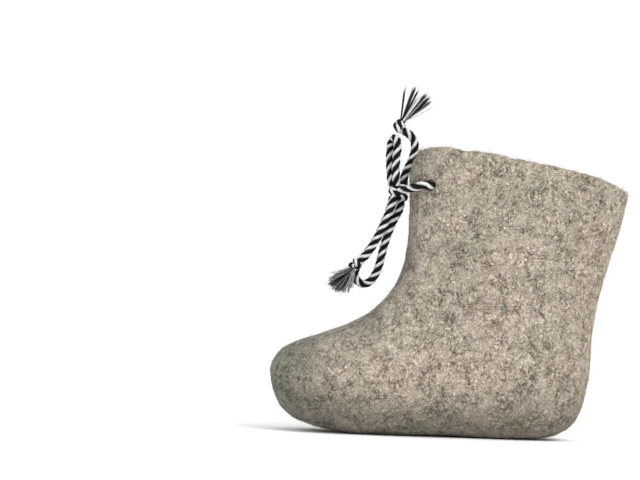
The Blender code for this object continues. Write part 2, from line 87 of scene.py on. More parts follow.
@contextmanager
def edit_mode(piece: bpy.types.Object) -> Iterator[None]:
    """Holds one object in edit mode with all of it selected.

    Args:
        piece: The mesh object to edit.

    Yields:
        Nothing, once the object is in edit mode.
    """
    pick_only(piece)
    bpy.ops.object.mode_set(mode="EDIT")
    bpy.ops.mesh.select_all(action="SELECT")
    yield
    bpy.ops.object.mode_set(mode="OBJECT")


def apply_modifier(piece: bpy.types.Object, kind: str, **settings: object) -> None:
    """Adds a modifier with the given settings and applies it.

    Args:
        piece: The mesh object.
        kind: The modifier's type.
        **settings: The modifier's own settings.
    """
    pick_only(piece)
    modifier = piece.modifiers.new(kind.lower(), kind)
    for key, value in settings.items():
        setattr(modifier, key, value)
    bpy.ops.object.modifier_apply(modifier=modifier.name)


def coordinates(piece: bpy.types.Object) -> np.ndarray:
    """Reads a mesh's points as an array of rows.

    Args:
        piece: The mesh object.

    Returns:
        One row of x, y and z for each point.
    """
    rows = np.empty(len(piece.data.vertices) * 3, np.float32)
    piece.data.vertices.foreach_get("co", rows)
    return rows.reshape(-1, 3).astype(float)


def set_coordinates(piece: bpy.types.Object, rows: np.ndarray) -> None:
    """Writes a mesh's points from an array of rows."""
    piece.data.vertices.foreach_set("co", rows.astype(np.float32).ravel())
    piece.data.update()


def point_normals(piece: bpy.types.Object) -> np.ndarray:
    """Reads the unit normals at a mesh's points.

    Args:
        piece: The mesh object.

    Returns:
        One row of x, y and z for each point.
    """
    rows = np.empty(len(piece.data.vertices) * 3, np.float32)
    piece.data.vertex_normals.foreach_get("vector", rows)
    return rows.reshape(-1, 3).astype(float)


def copy_of_solid(node: str, name: str) -> bpy.types.Object:
    """Copies a CAD node's mesh to a new object, merged and made of quads where it can be.

    Args:
        node: The CAD node's name.
        name: The new object's name.

    Returns:
        The new mesh object, at the origin.
    """
    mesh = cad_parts[node].data.copy()
    mesh.name = name
    mesh.materials.clear()
    piece = bpy.data.objects.new(name, mesh)
    bpy.context.scene.collection.objects.link(piece)
    if mesh.has_custom_normals:
        pick_only(piece)
        bpy.ops.mesh.customdata_custom_splitnormals_clear()
    with edit_mode(piece):
        bpy.ops.mesh.remove_doubles(threshold=1e-6)
        bpy.ops.mesh.tris_convert_to_quads()
    return piece


def mesh_piece(name: str, points: np.ndarray, faces: Sequence[Sequence[int]]) -> bpy.types.Object:
    """Makes a mesh object from points and faces.

    Args:
        name: The new object's name.
        points: One row of x, y and z for each point.
        faces: The point numbers of each face, in order round it.

    Returns:
        The new mesh object, at the origin, with smooth faces.
    """
    mesh = bpy.data.meshes.new(name)
    mesh.from_pydata(points.tolist(), [], faces)
    mesh.polygons.foreach_set("use_smooth", np.ones(len(mesh.polygons), bool))
    mesh.update()
    piece = bpy.data.objects.new(name, mesh)
    bpy.context.scene.collection.objects.link(piece)
    return piece


def face_values(piece: bpy.types.Object, name: str, values: np.ndarray) -> None:
    """Stores one number for each face, for the finish to read.

    Args:
        piece: The mesh object.
        name: The attribute's name.
        values: One number for each face.
    """
    attribute = piece.data.attributes.new(name, "FLOAT", "FACE")
    attribute.data.foreach_set("value", values.astype(np.float32))


def join_pieces(pieces: Sequence[bpy.types.Object], name: str) -> bpy.types.Object:
    """Joins mesh objects into the first of them.

    Args:
        pieces: The objects.
        name: The joined object's name.

    Returns:
        The joined object.
    """
    bpy.ops.object.select_all(action="DESELECT")
    for piece in pieces:
        piece.select_set(True)
    joined = pieces[0]
    bpy.context.view_layer.objects.active = joined
    bpy.ops.object.join()
    joined.name = joined.data.name = name
    return joined


def smooth_line(points: np.ndarray, step: float) -> np.ndarray:
    """Reads an evenly spaced line from the smooth curve through the given points.

    Args:
        points: The points that the curve passes, in order.
        step: The wanted distance between the line's points.

    Returns:
        The line's points, both ends kept.
    """
    padded = np.vstack((2 * points[0] - points[1], points, 2 * points[-1] - points[-2]))
    readings_per_point = 24
    rough = []
    for place in np.linspace(0, len(points) - 1, readings_per_point * len(points)):
        start = min(int(place), len(points) - 2)
        t = place - start
        before, left, right, after = padded[start : start + 4]
        rough.append(
            0.5 * (2 * left + (right - before) * t + (2 * before - 5 * left + 4 * right - after) * t**2
                   + (3 * left - before - 3 * right + after) * t**3)
        )
    rough = np.array(rough)
    along = lengths_along(rough)
    wanted = np.linspace(0, along[-1], max(3, round(along[-1] / step) + 1))
    return np.column_stack([np.interp(wanted, along, rough[:, axis]) for axis in range(3)])


def lengths_along(line: np.ndarray) -> np.ndarray:
    """The length from a line's start to each of its points."""
    return np.concatenate(([0.0], np.cumsum(np.linalg.norm(np.diff(line, axis=0), axis=1))))


def carried_frames(line: np.ndarray) -> tuple[np.ndarray, np.ndarray]:
    """Two directions across a line at each of its points, carried along it without a twist.

    Args:
        line: The line's points.

    Returns:
        The two sets of unit directions; with the line's own direction they make a right-handed frame.
    """
    along = np.gradient(line, axis=0)
    along /= np.linalg.norm(along, axis=1, keepdims=True)
    start = np.cross(along[0], (0.0, 1.0, 0.0))
    nearly_parallel = 0.2
    if np.linalg.norm(start) < nearly_parallel:
        start = np.cross(along[0], (1.0, 0.0, 0.0))
    first = np.empty_like(line)
    current = start / np.linalg.norm(start)
    for index, way in enumerate(along):
        current = current - way * current.dot(way)
        current /= np.linalg.norm(current)
        first[index] = current
    return first, np.cross(along, first)


def ring_faces(rings: int, sides: int) -> list[tuple[int, ...]]:
    """The side faces of a tube whose points come ring by ring.

    Args:
        rings: How many rings the tube has.
        sides: How many sides it has.

    Returns:
        The faces as tuples of point numbers.
    """
    faces = []
    for low in range(0, (rings - 1) * sides, sides):
        high = low + sides
        for side in range(sides):
            after = (side + 1) % sides
            faces.append((low + side, low + after, high + after, high + side))
    return faces


def many_tubes(lines: np.ndarray, radii: np.ndarray, sides: int) -> tuple[np.ndarray, list[tuple[int, ...]]]:
    """Closed round tubes along many short lines at once, with a point at their far ends.

    Args:
        lines: Lines by points by x, y and z.
        radii: The tube's radius, lines by points; the last point is the tip and its radius isn't used.
        sides: How many sides each tube has.

    Returns:
        The points, and the faces as tuples of point numbers, tube by tube.
    """
    count, rings, _ = lines.shape
    along = np.gradient(lines, axis=1)
    along /= np.linalg.norm(along, axis=2, keepdims=True)
    upright = 0.8
    helper = np.where(np.abs(along[:, :1, 2:]) > upright, (1.0, 0.0, 0.0), (0.0, 0.0, 1.0))
    first = np.cross(along, np.broadcast_to(helper, along.shape))
    first /= np.linalg.norm(first, axis=2, keepdims=True)
    second = np.cross(along, first)
    turns = np.arange(sides) * 2 * math.pi / sides
    cosines = np.cos(turns)[None, None, :, None]
    sines = np.sin(turns)[None, None, :, None]
    ring = first[:, :-1, None] * cosines + second[:, :-1, None] * sines
    body = lines[:, :-1, None] + ring * radii[:, :-1, None, None]
    body = body.reshape(count, (rings - 1) * sides, 3)
    points = np.concatenate((body, lines[:, -1:]), axis=1)
    tip = (rings - 1) * sides
    pattern = [tuple(range(sides))[::-1], *ring_faces(rings - 1, sides)]
    last = (rings - 2) * sides
    pattern += [(last + side, last + (side + 1) % sides, tip) for side in range(sides)]
    faces = [tuple(number + tube * (tip + 1) for number in face) for tube in range(count) for face in pattern]
    return points.reshape(-1, 3), faces


# Finishes


class FinishDesk:
    """Adds and joins the nodes of one material."""

    def __init__(self, name: str) -> None:
        """Starts a material with one plain shader.

        Args:
            name: The material's name.
        """
        self.material = bpy.data.materials.new(name)
        self.material.use_nodes = True
        self.tree = self.material.node_tree
        self.shader = self.tree.nodes["Principled BSDF"]

    def feed(self, socket: bpy.types.NodeSocket, value: object) -> None:
        """Links a socket to another node's output, or sets it to a plain value.

        Args:
            socket: The input socket.
            value: An output socket, a number, a colour or a vector.
        """
        if isinstance(value, bpy.types.NodeSocket):
            self.tree.links.new(value, socket)
        elif socket.type == "RGBA" and len(value) == 3:
            socket.default_value = (*value, 1.0)
        else:
            socket.default_value = value

    def add(self, kind: str, inputs: dict[str | int, object], **settings: object) -> bpy.types.Node:
        """Adds one node.

        Args:
            kind: The node's type, without its first word.
            inputs: What goes into its sockets, by name or number.
            **settings: The node's own settings.

        Returns:
            The new node.
        """
        made = self.tree.nodes.new("ShaderNode" + kind)
        for key, value in settings.items():
            setattr(made, key, value)
        for key, value in inputs.items():
            self.feed(made.inputs[key], value)
        return made

    def places(self) -> bpy.types.NodeSocket:
        """The place on the object, in metres."""
        return self.add("TexCoord", {}).outputs["Object"]

    def turned(self) -> bpy.types.NodeSocket:
        """The place turned off the axes, so that no face lies along a pattern's own grid."""
        inputs = {"Vector": self.places(), "Rotation": (0.62, 0.48, 0.71)}
        return self.add("Mapping", inputs).outputs["Vector"]

    def moved(self, place: bpy.types.NodeSocket, offset: Point, scale: Point = (1, 1, 1),
              ) -> bpy.types.NodeSocket:
        """A place moved and scaled, to read another part of a pattern."""
        return self.add("Mapping", {"Vector": place, "Location": offset, "Scale": scale}).outputs["Vector"]

    def cloud(self, place: bpy.types.NodeSocket, size: float, detail: float = 3.0, rough: float = 0.55,
              swirl: float = 0.0) -> bpy.types.Node:
        """A noise pattern whose largest marks have a given size.

        Args:
            place: The place to read it at.
            size: The size of its largest marks, in metres.
            detail: How many finer layers it has.
            rough: How strong the finer layers are.
            swirl: How much it is swirled.

        Returns:
            The noise node.
        """
        inputs = {"Vector": place, "Scale": 1 / size, "Detail": detail}
        inputs |= {"Roughness": rough, "Distortion": swirl}
        return self.add("TexNoise", inputs)

    def spread(self, value: bpy.types.NodeSocket, low: float, high: float, to: Stretch = (0.0, 1.0),
               ) -> bpy.types.NodeSocket:
        """Spreads a stretch of a value smoothly to another stretch.

        Args:
            value: The value's output socket.
            low: Where the stretch starts.
            high: Where the stretch ends.
            to: What its two ends become.

        Returns:
            The new value's socket.
        """
        inputs = {"Value": value, "From Min": low, "From Max": high, "To Min": to[0], "To Max": to[1]}
        return self.add("MapRange", inputs, interpolation_type="SMOOTHSTEP").outputs["Result"]

    def sum_up(self, operation: str, first: object, second: object) -> bpy.types.NodeSocket:
        """One sum with two numbers."""
        return self.add("Math", {0: first, 1: second}, operation=operation).outputs[0]

    def plus(self, first: object, second: object) -> bpy.types.NodeSocket:
        """Two numbers added."""
        return self.sum_up("ADD", first, second)

    def times(self, first: object, second: object) -> bpy.types.NodeSocket:
        """Two numbers multiplied."""
        return self.sum_up("MULTIPLY", first, second)

    def hairs(self, place: bpy.types.NodeSocket, size: float, width: float) -> bpy.types.NodeSocket:
        """Thin curly lines: the contour of a noise pattern.

        Args:
            place: The place to read it at.
            size: The size of the curls, in metres.
            width: How wide the lines are, as a share of the noise's own range.

        Returns:
            A socket that is 1 on a line and 0 between the lines.
        """
        level = self.sum_up("SUBTRACT", self.cloud(place, size, 2.0, 0.5).outputs["Fac"], 0.5)
        return self.spread(self.sum_up("ABSOLUTE", level, 0.0), 0.0, width, FADING)

    def stored_shade(self) -> bpy.types.NodeSocket:
        """The shade that is stored on each face."""
        return self.add("Attribute", {}, attribute_name="shade").outputs["Fac"]

    def mix(self, share: object, first: object, second: object, blend: str = "MIX") -> bpy.types.NodeSocket:
        """Mixes two colours.

        Args:
            share: How much of the second colour.
            first: The first colour.
            second: The second colour.
            blend: The way they are mixed.

        Returns:
            The mixed colour's socket.
        """
        inputs = {0: share, 6: first, 7: second}
        return self.add("Mix", inputs, data_type="RGBA", blend_type=blend).outputs[2]

    def dyed(self, colour: object, dye: object) -> bpy.types.NodeSocket:
        """A colour multiplied by another one, or by a number."""
        return self.mix(1.0, colour, dye, "MULTIPLY")

    def paint(self, colour: object) -> None:
        """Gives the surface its colour."""
        self.feed(self.shader.inputs["Base Color"], colour)

    def relief(self, height: bpy.types.NodeSocket, depth: float) -> None:
        """Lets a height pattern tilt the surface.

        Args:
            height: The pattern's socket.
            depth: The depth of the pattern between 0 and 1, in metres.
        """
        bump = self.add("Bump", {"Height": height, "Distance": depth, "Strength": 1.0})
        self.feed(self.shader.inputs["Normal"], bump.outputs["Normal"])

    def soft(self, rough: float, specular: float, sheen: float) -> None:
        """Sets the plain numbers of a dull, soft surface.

        Args:
            rough: How dull it is.
            specular: How much it mirrors at all.
            sheen: How much its fuzz catches the light.
        """
        self.shader.inputs["Roughness"].default_value = rough
        self.shader.inputs["Specular IOR Level"].default_value = specular
        self.shader.inputs["Sheen Weight"].default_value = sheen
        self.shader.inputs["Sheen Roughness"].default_value = 0.5


@dataclass(frozen=True)
class WoolPattern:
    """The patterns that the felt's colour and relief are made of."""

    clumps: bpy.types.NodeSocket
    curds: bpy.types.NodeSocket
    patches: bpy.types.NodeSocket
    pale_hairs: bpy.types.NodeSocket
    dark_hairs: bpy.types.NodeSocket
    fine_hairs: bpy.types.NodeSocket
    grain: bpy.types.NodeSocket


@dataclass(frozen=True)
class MelangeFelt:
    """Wool felt of pale and dark fibres matted together, in clumps that show as a mottle.

    Sizes are in metres. The colour also holds painted shade over the toe, the shin, the instep, the back
    and the low edge. A zone is the stretch, along X or up from the floor, over which that painted shade
    comes in or fades.
    """

    name: str = "melange felt"
    pale: Colour = (0.664, 0.574, 0.470)
    middle: Colour = (0.430, 0.358, 0.280)
    shade: Colour = (0.224, 0.181, 0.132)
    dark: Colour = (0.060, 0.043, 0.027)
    cool: Colour = (0.86, 0.91, 0.89)
    # The next four colours are painted shade: they darken the felt along its low edge, over the toe, on the
    # crest of the shin and instep, and at the back edge.
    low_shade: Colour = (0.58, 0.585, 0.57)
    toe: Colour = (0.55, 0.61, 0.61)
    crest_shade: Colour = (0.46, 0.515, 0.53)
    back: Colour = (0.91, 0.90, 0.88)
    clump_size: float = 0.0085
    curl_size: float = 0.0025
    patch_size: float = 0.0065
    grain_size: float = 0.0007
    bend_size: float = 0.0040
    bend: float = 0.0052
    depth: float = 0.0007
    cool_size: float = 0.030
    wander_size: float = 0.035
    wander: float = 0.008
    # These zones place the painted shade.
    toe_zone: Stretch = (-0.108, -0.052)
    back_zone: Stretch = (0.055, 0.085)
    low_zone: Stretch = (0.008, 0.042)
    shin_zone: Stretch = (-0.034, -0.014)
    shaft_zone: Stretch = (0.078, 0.105)
    foot_zone: Stretch = (-0.048, -0.034)
    instep_zone: Stretch = (0.050, 0.072)
    instep_share: float = 0.6

    def bent(self, desk: FinishDesk, place: bpy.types.NodeSocket) -> bpy.types.NodeSocket:
        """The place pushed about by a noise, which makes curds and hairs curl.

        Args:
            desk: The material's desk.
            place: The turned place on the object.

        Returns:
            The pushed place.
        """
        push = desk.cloud(place, self.bend_size, 2.0).outputs["Color"]
        push = desk.add("VectorMath", {0: push, 1: (0.5, 0.5, 0.5)}, operation="SUBTRACT").outputs[0]
        push = desk.add("VectorMath", {0: push, "Scale": self.bend}, operation="SCALE").outputs[0]
        return desk.add("VectorMath", {0: place, 1: push}, operation="ADD").outputs[0]

    def pattern(self, desk: FinishDesk, place: bpy.types.NodeSocket) -> WoolPattern:
        """Draws the clumps, curds, patches, hairs and grain of the wool.

        Args:
            desk: The material's desk.
            place: The turned place on the object.

        Returns:
            The patterns.
        """
        bent = self.bent(desk, place)
        patches = desk.cloud(desk.moved(place, (0.2, 0.8, 0.5)), self.patch_size, 2.0).outputs["Fac"]
        gaps = desk.cloud(desk.moved(place, (0.8, 0.3, 0.6)), self.curl_size * 0.7, 1.0).outputs["Fac"]
        open_felt = desk.times(desk.spread(gaps, 0.36, 0.50), desk.spread(patches, 0.42, 0.60, (1.0, 0.35)))
        long_hairs = desk.hairs(desk.moved(bent, (0.1, 0.6, 0.2)), self.curl_size * 1.15, 0.070)
        return WoolPattern(
            clumps=desk.cloud(place, self.clump_size, 4.0, 0.62, 0.5).outputs["Fac"],
            curds=desk.cloud(desk.moved(bent, (0.7, 0.2, 0.4)), self.curl_size, 3.0, 0.65).outputs["Fac"],
            patches=patches,
            pale_hairs=desk.hairs(desk.moved(bent, (0.3, 0.1, 0.7)), self.curl_size, 0.055),
            dark_hairs=desk.times(long_hairs, open_felt),
            fine_hairs=desk.hairs(desk.moved(bent, (0.5, 0.4, 0.9)), self.curl_size * 0.6, 0.075),
            grain=desk.cloud(place, self.grain_size, 2.0).outputs["Fac"],
        )

    def wool(self, desk: FinishDesk, seen: WoolPattern) -> bpy.types.NodeSocket:
        """Mixes the wool's colours, which are the same all over the boot.

        Args:
            desk: The material's desk.
            seen: The patterns of the wool.

        Returns:
            The colour.
        """
        colour = desk.mix(desk.spread(seen.clumps, 0.36, 0.64), self.shade, self.middle)
        colour = desk.mix(desk.spread(seen.patches, 0.50, 0.68, (0.0, 0.45)), colour, self.pale)
        colour = desk.mix(desk.spread(seen.curds, 0.40, 0.68), colour, self.pale)
        where_pale = desk.times(seen.pale_hairs, desk.spread(seen.clumps, 0.30, 0.62, (0.35, 0.95)))
        colour = desk.mix(where_pale, colour, self.pale)
        where_dark = desk.times(seen.dark_hairs, desk.spread(seen.clumps, 0.36, 0.66, (1.0, 0.40)))
        colour = desk.mix(where_dark, colour, self.dark)
        colour = desk.mix(desk.times(seen.fine_hairs, 0.52), colour, self.dark)
        return desk.dyed(colour, desk.spread(seen.grain, 0.3, 0.7, (0.74, 1.24)))

    def with_painted_shade(self, desk: FinishDesk, place: bpy.types.NodeSocket, colour: bpy.types.NodeSocket,
              ) -> bpy.types.NodeSocket:
        """Cools some areas at random, and paints shade over the back, the toe, the shin with the instep, and
        the low edge.

        Args:
            desk: The material's desk.
            place: The turned place on the object.
            colour: The wool's colour.

        Returns:
            The colour with its painted shade.
        """
        parts = desk.add("SeparateXYZ", {0: desk.places()}).outputs
        wander = desk.cloud(place, self.wander_size, 2.0).outputs["Fac"]
        wander = desk.spread(wander, 0.3, 0.7, (-self.wander, self.wander))
        forward = desk.plus(parts["X"], wander)
        height = desk.plus(parts["Z"], desk.times(wander, 0.5))
        cool = desk.cloud(desk.moved(place, (0.9, 0.9, 0.1)), self.cool_size, 2.0).outputs["Fac"]
        on_shaft = desk.spread(parts["Z"], *self.shaft_zone)
        on_foot = desk.spread(parts["X"], *self.foot_zone, FADING)
        shin = desk.times(desk.spread(parts["X"], *self.shin_zone, FADING), on_shaft)
        instep = desk.times(desk.spread(height, *self.instep_zone, (0.0, self.instep_share)), on_foot)
        # The cool tint is the wool's own colour; the other four darken the felt as painted shade.
        for share, dye in (
            (desk.spread(cool, 0.42, 0.66), self.cool),
            (desk.spread(parts["X"], *self.back_zone), self.back),
            (desk.spread(forward, *self.toe_zone, FADING), self.toe),
            (desk.sum_up("MAXIMUM", shin, instep), self.crest_shade),
            (desk.spread(height, *self.low_zone, FADING), self.low_shade),
        ):
            colour = desk.mix(share, colour, desk.dyed(colour, dye))
        return colour

    def material(self) -> bpy.types.Material:
        """Makes the material.

        Returns:
            The finished material.
        """
        desk = FinishDesk(self.name)
        place = desk.turned()
        seen = self.pattern(desk, place)
        desk.paint(self.with_painted_shade(desk, place, self.wool(desk, seen)))
        height = desk.plus(desk.times(seen.pale_hairs, 0.5), desk.times(seen.clumps, 1.2))
        height = desk.plus(height, desk.times(seen.curds, 0.7))
        height = desk.sum_up("SUBTRACT", height, desk.times(seen.dark_hairs, 0.4))
        height = desk.plus(height, desk.times(seen.grain, 0.35))
        desk.relief(height, self.depth)
        desk.soft(rough=0.95, specular=0.12, sheen=0.12)
        return desk.material


@dataclass(frozen=True)
class LooseFibres:
    """Single wool fibres that stand out of the felt, from pale to dark."""

    name: str = "wool fibres"
    pale: Colour = (0.66, 0.60, 0.50)
    dark: Colour = (0.10, 0.085, 0.068)

    def material(self) -> bpy.types.Material:
        """Makes the material, which reads each fibre's own shade.

        Returns:
            The finished material.
        """
        desk = FinishDesk(self.name)
        desk.paint(desk.mix(desk.spread(desk.stored_shade(), 0.1, 0.9), self.dark, self.pale))
        desk.soft(rough=0.85, specular=0.2, sheen=0.1)
        return desk.material


@dataclass(frozen=True)
class TwistedYarn:
    """Black and white strands, each of fine filaments that run along it."""

    name: str = "black and white yarn"
    black: Colour = (0.004, 0.004, 0.0035)
    grey: Colour = (0.036, 0.036, 0.034)
    white: Colour = (0.84, 0.835, 0.82)
    shadow: Colour = (0.36, 0.36, 0.355)
    filament: float = 0.00028
    filament_stretch: float = 0.11
    relief: float = 0.00022

    def material(self) -> bpy.types.Material:
        """Makes the material, which reads each strand's own shade and its length as a map.

        Returns:
            The finished material.
        """
        desk = FinishDesk(self.name)
        along = desk.add("UVMap", {}, uv_map="along_strand").outputs["UV"]
        drawn_out = desk.moved(along, (0, 0, 0), (1.0, self.filament_stretch, 1.0))
        fibres = desk.cloud(drawn_out, self.filament, 3.0, 0.6).outputs["Fac"]
        whites = desk.mix(desk.spread(fibres, 0.38, 0.60), self.shadow, self.white)
        blacks = desk.mix(desk.spread(fibres, 0.50, 0.74), self.black, self.grey)
        across = desk.add("UVMap", {}, uv_map="across_strand").outputs["UV"]
        across = desk.add("SeparateXYZ", {0: across}).outputs["X"]
        off_middle = desk.sum_up("ABSOLUTE", desk.sum_up("SUBTRACT", across, 0.5), 0.0)
        # Painted shade: each strand darkens towards its edges, in the valleys between the strands.
        valley_shade = desk.spread(off_middle, 0.22, 0.5, (1.0, 0.16))
        desk.paint(desk.dyed(desk.mix(desk.stored_shade(), blacks, whites), valley_shade))
        desk.relief(fibres, self.relief)
        desk.soft(rough=0.75, specular=0.08, sheen=0.0)
        return desk.material


@dataclass(frozen=True)
class TasselThreads:
    """Single threads of the frayed cord, each dark or white."""

    name: str = "frayed threads"
    dark: Colour = (0.008, 0.0078, 0.007)
    white: Colour = (0.78, 0.775, 0.76)
    streak_size: float = 0.0012
    relief: float = 0.0001

    def material(self) -> bpy.types.Material:
        """Makes the material, which reads each thread's own shade.

        Returns:
            The finished material.
        """
        desk = FinishDesk(self.name)
        streak = desk.cloud(desk.places(), self.streak_size, 3.0).outputs["Fac"]
        colour = desk.mix(desk.stored_shade(), self.dark, self.white)
        desk.paint(desk.dyed(colour, desk.spread(streak, 0.3, 0.7, (0.7, 1.25))))
        desk.relief(streak, self.relief)
        desk.soft(rough=0.7, specular=0.12, sheen=0.0)
        return desk.material


@dataclass(frozen=True)
class InsoleFelt:
    """Needled felt of the loose insole: even, flat and a little greyer than the boot."""

    name: str = "insole felt"
    pale: Colour = (0.46, 0.43, 0.37)
    dark: Colour = (0.20, 0.18, 0.15)
    matting_size: float = 0.0022
    pricks_per_metre: float = 420.0
    relief: float = 0.0004

    def material(self) -> bpy.types.Material:
        """Makes the material.

        Returns:
            The finished material.
        """
        desk = FinishDesk(self.name)
        place = desk.turned()
        matting = desk.cloud(place, self.matting_size, 4.0, 0.65, 0.8).outputs["Fac"]
        pricks = desk.add("TexVoronoi", {"Vector": place, "Scale": self.pricks_per_metre}).outputs["Distance"]
        desk.paint(desk.mix(desk.spread(matting, 0.34, 0.66), self.dark, self.pale))
        desk.relief(desk.plus(matting, desk.times(pricks, 0.5)), self.relief)
        desk.soft(rough=0.95, specular=0.1, sheen=0.1)
        return desk.material


@dataclass(frozen=True)
class StudioPaint:
    """The plain pale surface that the boot stands on."""

    name: str = "studio floor"
    colour: Colour = (0.97, 0.97, 0.97)

    def material(self) -> bpy.types.Material:
        """Makes the material.

        Returns:
            The finished material.
        """
        desk = FinishDesk(self.name)
        desk.paint(self.colour)
        desk.soft(rough=0.9, specular=0.1, sheen=0.0)
        return desk.material


# The studio


@dataclass(frozen=True)
class PhotoCamera:
    """The photograph's view: square on to the boot's side, with the picture rolled a little."""

    aim: Point = (-0.0807, 0.0, 0.1177)
    distance: float = 2.2
    frame_width: float = 0.3952
    roll: float = math.radians(2.3)

    def place(self) -> bpy.types.Object:
        """Makes the camera and gives it to the scene.

        Returns:
            The camera.
        """
        data = bpy.data.cameras.new("photo_camera")
        data.sensor_width = 36.0
        data.lens = data.sensor_width * self.distance / self.frame_width
        camera = bpy.data.objects.new("photo_camera", data)
        bpy.context.scene.collection.objects.link(camera)
        right = Vector((math.cos(self.roll), 0, math.sin(self.roll)))
        back = Vector((0, -1, 0))
        turn = Matrix((right, back.cross(right), back)).transposed().to_4x4()
        camera.matrix_world = Matrix.Translation(Vector(self.aim) + back * self.distance) @ turn
        bpy.context.scene.camera = camera
        return camera


@dataclass(frozen=True)
class SoftLamp:
    """One large soft lamp."""

    name: str
    place: Point
    aim: Point
    size: float
    watts: float

    def hang(self) -> bpy.types.Object:
        """Hangs the lamp in the scene.

        Returns:
            The lamp.
        """
        data = bpy.data.lights.new(self.name, "AREA")
        data.shape = "DISK"
        data.size = self.size
        data.energy = self.watts
        lamp = bpy.data.objects.new(self.name, data)
        bpy.context.scene.collection.objects.link(lamp)
        lamp.location = self.place
        lamp.rotation_euler = (Vector(self.aim) - Vector(self.place)).to_track_quat("-Z", "Y").to_euler()
        return lamp


@dataclass
class Studio:
    """A round pale floor whose rim curves up all round, a pale sky and two soft lamps."""

    radius: float = 5.0
    corners: int = 96
    rim_height: float = 2.0
    rim_bend: float = 1.6
    sky: float = 1.03
    lamps: tuple[SoftLamp, ...] = (
        SoftLamp("key_lamp", (0.75, -1.05, 1.15), (0.0, 0.0, 0.08), 0.9, 15.0),
        SoftLamp("fill_lamp", (-1.3, -1.3, 0.7), (0.0, 0.0, 0.08), 1.2, 1.5),
    )

    def lay_floor(self) -> bpy.types.Object:
        """Makes the floor from a ring that is extruded up, closed below and rounded.

        Returns:
            The floor.
        """
        bpy.ops.mesh.primitive_circle_add(
            vertices=self.corners, radius=self.radius, fill_type="NOTHING", location=(0, 0, 0)
        )
        floor = bpy.context.active_object
        floor.name = floor.data.name = "studio_floor"
        with edit_mode(floor):
            bpy.ops.mesh.extrude_region_move(TRANSFORM_OT_translate={"value": (0, 0, self.rim_height)})
            bpy.ops.mesh.select_all(action="INVERT")
            bpy.ops.mesh.edge_face_add()
            bpy.ops.mesh.select_all(action="SELECT")
            bpy.ops.mesh.normals_make_consistent(inside=True)
        apply_modifier(floor, "BEVEL", width=self.rim_bend, segments=12, limit_method="ANGLE")
        pick_only(floor)
        bpy.ops.object.shade_smooth()
        floor.data.materials.append(StudioPaint().material())
        return floor

    def build(self) -> None:
        """Lays the floor, sets the sky and hangs the lamps."""
        self.lay_floor()
        world = bpy.data.worlds.new("pale_sky")
        world.use_nodes = True
        background = world.node_tree.nodes["Background"]
        background.inputs["Color"].default_value = (1.0, 1.0, 1.0, 1.0)
        background.inputs["Strength"].default_value = self.sky
        bpy.context.scene.world = world
        for lamp in self.lamps:
            lamp.hang()
        bpy.context.scene.view_settings.view_transform = "Standard"


# The tie


@dataclass(frozen=True)
class CordMake:
    """How the cord is laid: four strands, black and white by turns, twisted right-handed.

    diameter, full_turn and step are in metres. strand_share is a strand's radius and surface_reach the
    place of its middle, as shares of the cord's radius. end_width and end_bulge shape the cut ends.
    """

    diameter: float = 0.005
    strands: int = 4
    full_turn: float = 0.0142
    step: float = 0.0007
    points_per_strand: int = 8
    strand_share: float = 0.54
    fullness: float = 1.05
    surface_reach: float = 0.8
    end_width: float = 0.62
    end_bulge: float = 0.12

    def outline(self) -> np.ndarray:
        """The cord's section, as a radius for each direction round it.

        Returns:
            One radius for each point round the section, starting in a valley between two strands.
        """
        outer = self.fullness * self.diameter / 2
        strand = outer * self.strand_share
        middle = outer - strand
        half = math.pi / self.strands
        turn = (np.arange(self.points_per_strand) / self.points_per_strand) * 2 * half - half
        reach = middle * np.cos(turn) + np.sqrt(np.maximum(strand**2 - (middle * np.sin(turn)) ** 2, 0))
        return np.tile(reach, self.strands)


def mark_strands(cord: bpy.types.Object, along: np.ndarray, make: CordMake) -> None:
    """Stores each strand's shade on a cord's faces, and its two maps, along the strand and across it.

    Args:
        cord: The cord's mesh: one cap, the faces ring by ring, and the other cap.
        along: The length from the start at each point of the cord's line.
        make: How the cord is laid.
    """
    around = make.strands * make.points_per_strand
    face_rows = len(along) + 1
    sides = np.tile(np.arange(around), face_rows)
    row_of = np.repeat(np.arange(face_rows), around)
    strand_of = sides // make.points_per_strand
    face_values(cord, "shade", np.concatenate(([0.0], (strand_of % 2).astype(float), [0.0])))

    bulge = make.diameter * make.end_bulge
    strand_turn = 2 * math.pi * make.surface_reach * make.diameter / 2 / make.full_turn
    stretch = math.sqrt(1 + strand_turn**2)
    row_along = np.concatenate(([along[0] - bulge], along, [along[-1] + bulge])) * stretch
    lengthwise = row_along[row_of[:, None] + np.array((0, 0, 1, 1))[None, :]]
    across = (sides % make.points_per_strand)[:, None] + np.array((0, 1, 1, 0))[None, :]
    spread = across / make.points_per_strand
    strand_width = math.pi * make.diameter / make.strands
    strands_apart = 0.05
    for map_name, crosswise, cap_value in (
        ("along_strand", spread * strand_width + strand_of[:, None] * strands_apart, 0.0),
        ("across_strand", spread, 0.5),
    ):
        cap = np.full((around, 2), cap_value)
        corners = np.stack((crosswise, lengthwise), axis=2).reshape(-1, 2)
        rows = np.concatenate((cap, corners, cap)).astype(np.float32)
        layer = cord.data.uv_layers.new(name=map_name)
        layer.data.foreach_set("uv", rows.ravel())


